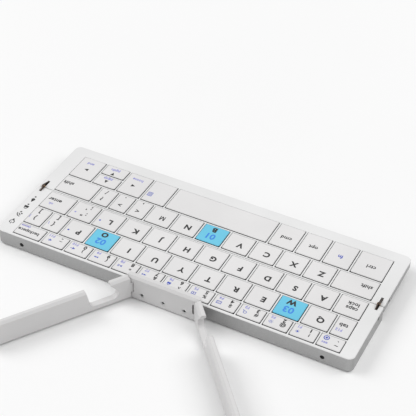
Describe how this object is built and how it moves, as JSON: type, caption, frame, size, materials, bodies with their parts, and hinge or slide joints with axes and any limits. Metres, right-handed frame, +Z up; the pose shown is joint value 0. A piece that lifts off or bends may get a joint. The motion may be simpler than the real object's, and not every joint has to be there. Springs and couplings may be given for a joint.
{
  "type": "folding keyboard",
  "caption": "Folding keyboard: hinged halves with sprung keys, aluminium backs and swing-out rear stand arms notched to prop up a phone or tablet.",
  "frame": {"origin": "middle of the underside of the front rubber foot strip, on the table plane", "axes": "+X to the typist's right along the rows of keys, +Y away from the typist towards the stand arms, +Z up"},
  "size_m": [0.237, 0.175, 0.0176],
  "materials": {
    "aluminium_shell": "anodised, with a polished chamfer",
    "white_frame": "satin",
    "white_key": "satin",
    "blue_key": "satin",
    "white_stand": "satin",
    "steel_plate": "plain",
    "hinge_steel": "plain",
    "screw_steel": "plain",
    "pin_steel": "ground",
    "port_metal": "plated",
    "hinge_brass": "plain",
    "magnet": "plated",
    "switch_rubber": "matt",
    "foot_rubber": "matt",
    "board": "lacquered",
    "battery_pouch": "foil",
    "flat_cable": "film",
    "light_pipe": "translucent"
  },
  "bodies": {
    "rear_half": {"rear_shell": "aluminium_shell", "rear_frame": "white_frame", "rear_key_plate": "steel_plate", "rear_switch_sheet": "switch_rubber", "circuit_board": "board", "battery": "battery_pouch", "charge_port": "port_metal", "rear_flex": "flat_cable", "rear_magnets": "magnet", "arm_magnets": "magnet", "status_lights": "light_pipe", "foot_strips": "foot_rubber", "rear_hinge_leaves": "hinge_steel", "hinge_pins": "hinge_brass", "rear_hinge_screws": "screw_steel", "stand_block": "white_stand", "block_screws": "screw_steel", "arm_pins": "pin_steel"},
    "front_half": {"front_shell": "aluminium_shell", "front_frame": "white_frame", "front_key_plate": "steel_plate", "front_switch_sheet": "switch_rubber", "front_flex": "flat_cable", "front_magnets": "magnet", "front_hinge_leaves": "hinge_steel", "front_hinge_screws": "screw_steel"},
    "arm_left": {"arm_left": "white_stand"},
    "arm_right": {"arm_right": "white_stand"},
    "number_keys_left": {"number_keys_left": "white_key"},
    "number_keys_right": {"number_keys_right": "white_key"},
    "backspace_key": {"backspace_key": "white_key"},
    "tab_key": {"tab_key": "white_key"},
    "upper_keys_left": {"upper_keys_left": "white_key"},
    "w_key": {"w_key": "blue_key"},
    "upper_keys_right": {"upper_keys_right": "white_key"},
    "o_key": {"o_key": "blue_key"},
    "bracket_keys": {"bracket_keys": "white_key"},
    "caps_key": {"caps_key": "white_key"},
    "home_keys_left": {"home_keys_left": "white_key"},
    "home_keys_right": {"home_keys_right": "white_key"},
    "enter_key": {"enter_key": "white_key"},
    "shift_key_left": {"shift_key_left": "white_key"},
    "lower_keys_left": {"lower_keys_left": "white_key"},
    "b_key": {"b_key": "blue_key"},
    "lower_keys_right": {"lower_keys_right": "white_key"},
    "punctuation_keys": {"punctuation_keys": "white_key"},
    "shift_key_right": {"shift_key_right": "white_key"},
    "control_key": {"control_key": "white_key"},
    "fn_key": {"fn_key": "white_key"},
    "option_key": {"option_key": "white_key"},
    "command_key": {"command_key": "white_key"},
    "space_key": {"space_key": "white_key"},
    "menu_key": {"menu_key": "white_key"},
    "arrow_key_left": {"arrow_key_left": "white_key"},
    "arrow_key_up": {"arrow_key_up": "white_key"},
    "arrow_key_down": {"arrow_key_down": "white_key"},
    "arrow_key_right": {"arrow_key_right": "white_key"}
  },
  "joints": [
    {"name": "fold", "type": "hinge", "parent": "rear_half", "child": "front_half", "pos_m": [0, -0.0055, 0.012], "axis": [-1, 0, 0], "range_deg": [0, 180]},
    {"name": "arm_left_swing", "type": "hinge", "parent": "rear_half", "child": "arm_left", "pos_m": [-0.0224, 0.0448, 0.0094], "axis": [0, 0, -1], "range_deg": [-49, 41]},
    {"name": "arm_right_swing", "type": "hinge", "parent": "rear_half", "child": "arm_right", "pos_m": [0.0205, 0.0448, 0.0094], "axis": [0, 0, 1], "range_deg": [-56, 34]},
    {"name": "number_keys_left_press", "type": "slide", "parent": "rear_half", "child": "number_keys_left", "axis": [0, 0, -1], "range_m": [0, 0.0012], "stiffness_N_per_m": 2400},
    {"name": "number_keys_right_press", "type": "slide", "parent": "rear_half", "child": "number_keys_right", "axis": [0, 0, -1], "range_m": [0, 0.0012], "stiffness_N_per_m": 2400},
    {"name": "backspace_key_press", "type": "slide", "parent": "rear_half", "child": "backspace_key", "axis": [0, 0, -1], "range_m": [0, 0.0012], "stiffness_N_per_m": 400},
    {"name": "tab_key_press", "type": "slide", "parent": "rear_half", "child": "tab_key", "axis": [0, 0, -1], "range_m": [0, 0.0012], "stiffness_N_per_m": 400},
    {"name": "upper_keys_left_press", "type": "slide", "parent": "rear_half", "child": "upper_keys_left", "axis": [0, 0, -1], "range_m": [0, 0.0012], "stiffness_N_per_m": 1600},
    {"name": "w_key_press", "type": "slide", "parent": "rear_half", "child": "w_key", "axis": [0, 0, -1], "range_m": [0, 0.0012], "stiffness_N_per_m": 400},
    {"name": "upper_keys_right_press", "type": "slide", "parent": "rear_half", "child": "upper_keys_right", "axis": [0, 0, -1], "range_m": [0, 0.0012], "stiffness_N_per_m": 1600},
    {"name": "o_key_press", "type": "slide", "parent": "rear_half", "child": "o_key", "axis": [0, 0, -1], "range_m": [0, 0.0012], "stiffness_N_per_m": 400},
    {"name": "bracket_keys_press", "type": "slide", "parent": "rear_half", "child": "bracket_keys", "axis": [0, 0, -1], "range_m": [0, 0.0012], "stiffness_N_per_m": 800},
    {"name": "caps_key_press", "type": "slide", "parent": "rear_half", "child": "caps_key", "axis": [0, 0, -1], "range_m": [0, 0.0012], "stiffness_N_per_m": 400},
    {"name": "home_keys_left_press", "type": "slide", "parent": "rear_half", "child": "home_keys_left", "axis": [0, 0, -1], "range_m": [0, 0.0012], "stiffness_N_per_m": 2000},
    {"name": "home_keys_right_press", "type": "slide", "parent": "rear_half", "child": "home_keys_right", "axis": [0, 0, -1], "range_m": [0, 0.0012], "stiffness_N_per_m": 2000},
    {"name": "enter_key_press", "type": "slide", "parent": "rear_half", "child": "enter_key", "axis": [0, 0, -1], "range_m": [0, 0.0012], "stiffness_N_per_m": 400},
    {"name": "shift_key_left_press", "type": "slide", "parent": "front_half", "child": "shift_key_left", "axis": [0, 0, -1], "range_m": [0, 0.0012], "stiffness_N_per_m": 400},
    {"name": "lower_keys_left_press", "type": "slide", "parent": "front_half", "child": "lower_keys_left", "axis": [0, 0, -1], "range_m": [0, 0.0012], "stiffness_N_per_m": 1600},
    {"name": "b_key_press", "type": "slide", "parent": "front_half", "child": "b_key", "axis": [0, 0, -1], "range_m": [0, 0.0012], "stiffness_N_per_m": 400},
    {"name": "lower_keys_right_press", "type": "slide", "parent": "front_half", "child": "lower_keys_right", "axis": [0, 0, -1], "range_m": [0, 0.0012], "stiffness_N_per_m": 800},
    {"name": "punctuation_keys_press", "type": "slide", "parent": "front_half", "child": "punctuation_keys", "axis": [0, 0, -1], "range_m": [0, 0.0012], "stiffness_N_per_m": 1200},
    {"name": "shift_key_right_press", "type": "slide", "parent": "front_half", "child": "shift_key_right", "axis": [0, 0, -1], "range_m": [0, 0.0012], "stiffness_N_per_m": 400},
    {"name": "control_key_press", "type": "slide", "parent": "front_half", "child": "control_key", "axis": [0, 0, -1], "range_m": [0, 0.0012], "stiffness_N_per_m": 400},
    {"name": "fn_key_press", "type": "slide", "parent": "front_half", "child": "fn_key", "axis": [0, 0, -1], "range_m": [0, 0.0012], "stiffness_N_per_m": 400},
    {"name": "option_key_press", "type": "slide", "parent": "front_half", "child": "option_key", "axis": [0, 0, -1], "range_m": [0, 0.0012], "stiffness_N_per_m": 400},
    {"name": "command_key_press", "type": "slide", "parent": "front_half", "child": "command_key", "axis": [0, 0, -1], "range_m": [0, 0.0012], "stiffness_N_per_m": 400},
    {"name": "space_key_press", "type": "slide", "parent": "front_half", "child": "space_key", "axis": [0, 0, -1], "range_m": [0, 0.0012], "stiffness_N_per_m": 400},
    {"name": "menu_key_press", "type": "slide", "parent": "front_half", "child": "menu_key", "axis": [0, 0, -1], "range_m": [0, 0.0012], "stiffness_N_per_m": 400},
    {"name": "arrow_key_left_press", "type": "slide", "parent": "front_half", "child": "arrow_key_left", "axis": [0, 0, -1], "range_m": [0, 0.0012], "stiffness_N_per_m": 400},
    {"name": "arrow_key_up_press", "type": "slide", "parent": "front_half", "child": "arrow_key_up", "axis": [0, 0, -1], "range_m": [0, 0.0012], "stiffness_N_per_m": 400},
    {"name": "arrow_key_down_press", "type": "slide", "parent": "front_half", "child": "arrow_key_down", "axis": [0, 0, -1], "range_m": [0, 0.0012], "stiffness_N_per_m": 400},
    {"name": "arrow_key_right_press", "type": "slide", "parent": "front_half", "child": "arrow_key_right", "axis": [0, 0, -1], "range_m": [0, 0.0012], "stiffness_N_per_m": 400}
  ]
}
